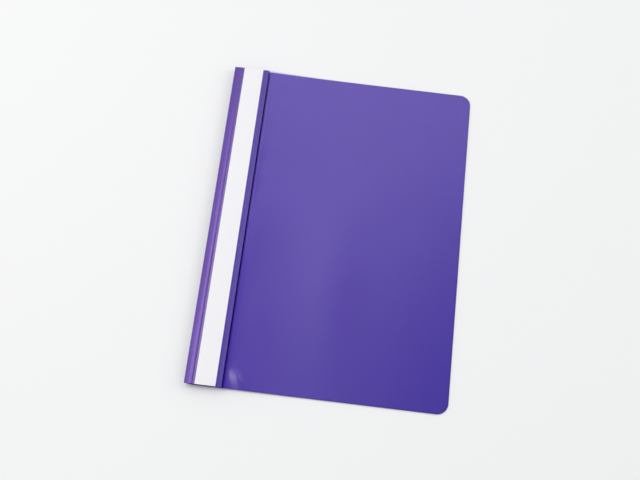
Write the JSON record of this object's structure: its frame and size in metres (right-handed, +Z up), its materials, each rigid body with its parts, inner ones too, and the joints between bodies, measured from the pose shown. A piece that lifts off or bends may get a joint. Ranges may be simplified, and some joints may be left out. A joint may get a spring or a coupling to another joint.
{
  "type": "fastener folder",
  "caption": "Slim report folder with a clear front cover, opaque back cover, label pocket on the folded spine flap and a metal prong fastener for punched sheets.",
  "frame": {"origin": "middle of the folder's footprint, on the surface it lies on", "axes": "+X across the folder from the spine to the free edge, +Y up the spine towards the top edge, +Z up through the front cover"},
  "size_m": [0.23, 0.31, 0.0055],
  "materials": {
    "coloured_film": "violet polypropylene film, finely grained, satin",
    "clear_film": "clear polypropylene film, smooth, slightly wavy",
    "label_paper": "plain white paper",
    "plated_steel": "nickel-plated steel strip, satin"
  },
  "bodies": {
    "back": {"back_cover": "coloured_film", "fastener_strip": "coloured_film", "fastener_band": "plated_steel"},
    "spine": {"spine_panel": "coloured_film"},
    "flap": {"front_flap": "coloured_film", "label_pocket": "clear_film"},
    "cover": {"front_cover": "clear_film"},
    "label": {"label_insert": "label_paper"},
    "upper_prong": {"prong_upper": "plated_steel"},
    "lower_prong": {"prong_lower": "plated_steel"},
    "bar": {"cover_bar": "plated_steel"}
  },
  "joints": [
    {"name": "flap_open", "type": "hinge", "parent": "spine", "child": "flap", "pos_m": [-0.115, 0, 0.00505], "axis": [0, -1, 0], "range_deg": [0, 139]},
    {"name": "spine_crease", "type": "hinge", "parent": "back", "child": "spine", "pos_m": [-0.10919, 0, 0], "axis": [0, -1, 0], "range_deg": [0, 41]},
    {"name": "cover_fold", "type": "hinge", "parent": "flap", "child": "cover", "pos_m": [-0.08155, 0, 0.00523], "axis": [0, -1, 0], "range_deg": [0, 170]},
    {"name": "label_pull", "type": "slide", "parent": "flap", "child": "label", "axis": [0, 1, 0], "range_m": [0, 0.31]},
    {"name": "upper_prong_fold", "type": "hinge", "parent": "back", "child": "upper_prong", "pos_m": [-0.09589, 0.04015, 0.0016], "axis": [-1, 0, 0], "range_deg": [0, 90]},
    {"name": "lower_prong_fold", "type": "hinge", "parent": "back", "child": "lower_prong", "pos_m": [-0.09589, -0.04015, 0.0016], "axis": [1, 0, 0], "range_deg": [0, 90]},
    {"name": "bar_lift", "type": "slide", "parent": "back", "child": "bar", "axis": [0, 0, 1], "range_m": [0, 0.006]}
  ],
  "couplings": [
    {"joint": "spine_crease", "follows": "flap_open", "ratio": 0.295},
    {"joint": "upper_prong_fold", "follows": "flap_open", "ratio": 0.6475},
    {"joint": "lower_prong_fold", "follows": "flap_open", "ratio": 0.6475},
    {"joint": "bar_lift", "follows": "flap_open", "m_per_rad": 0.00247}
  ]
}
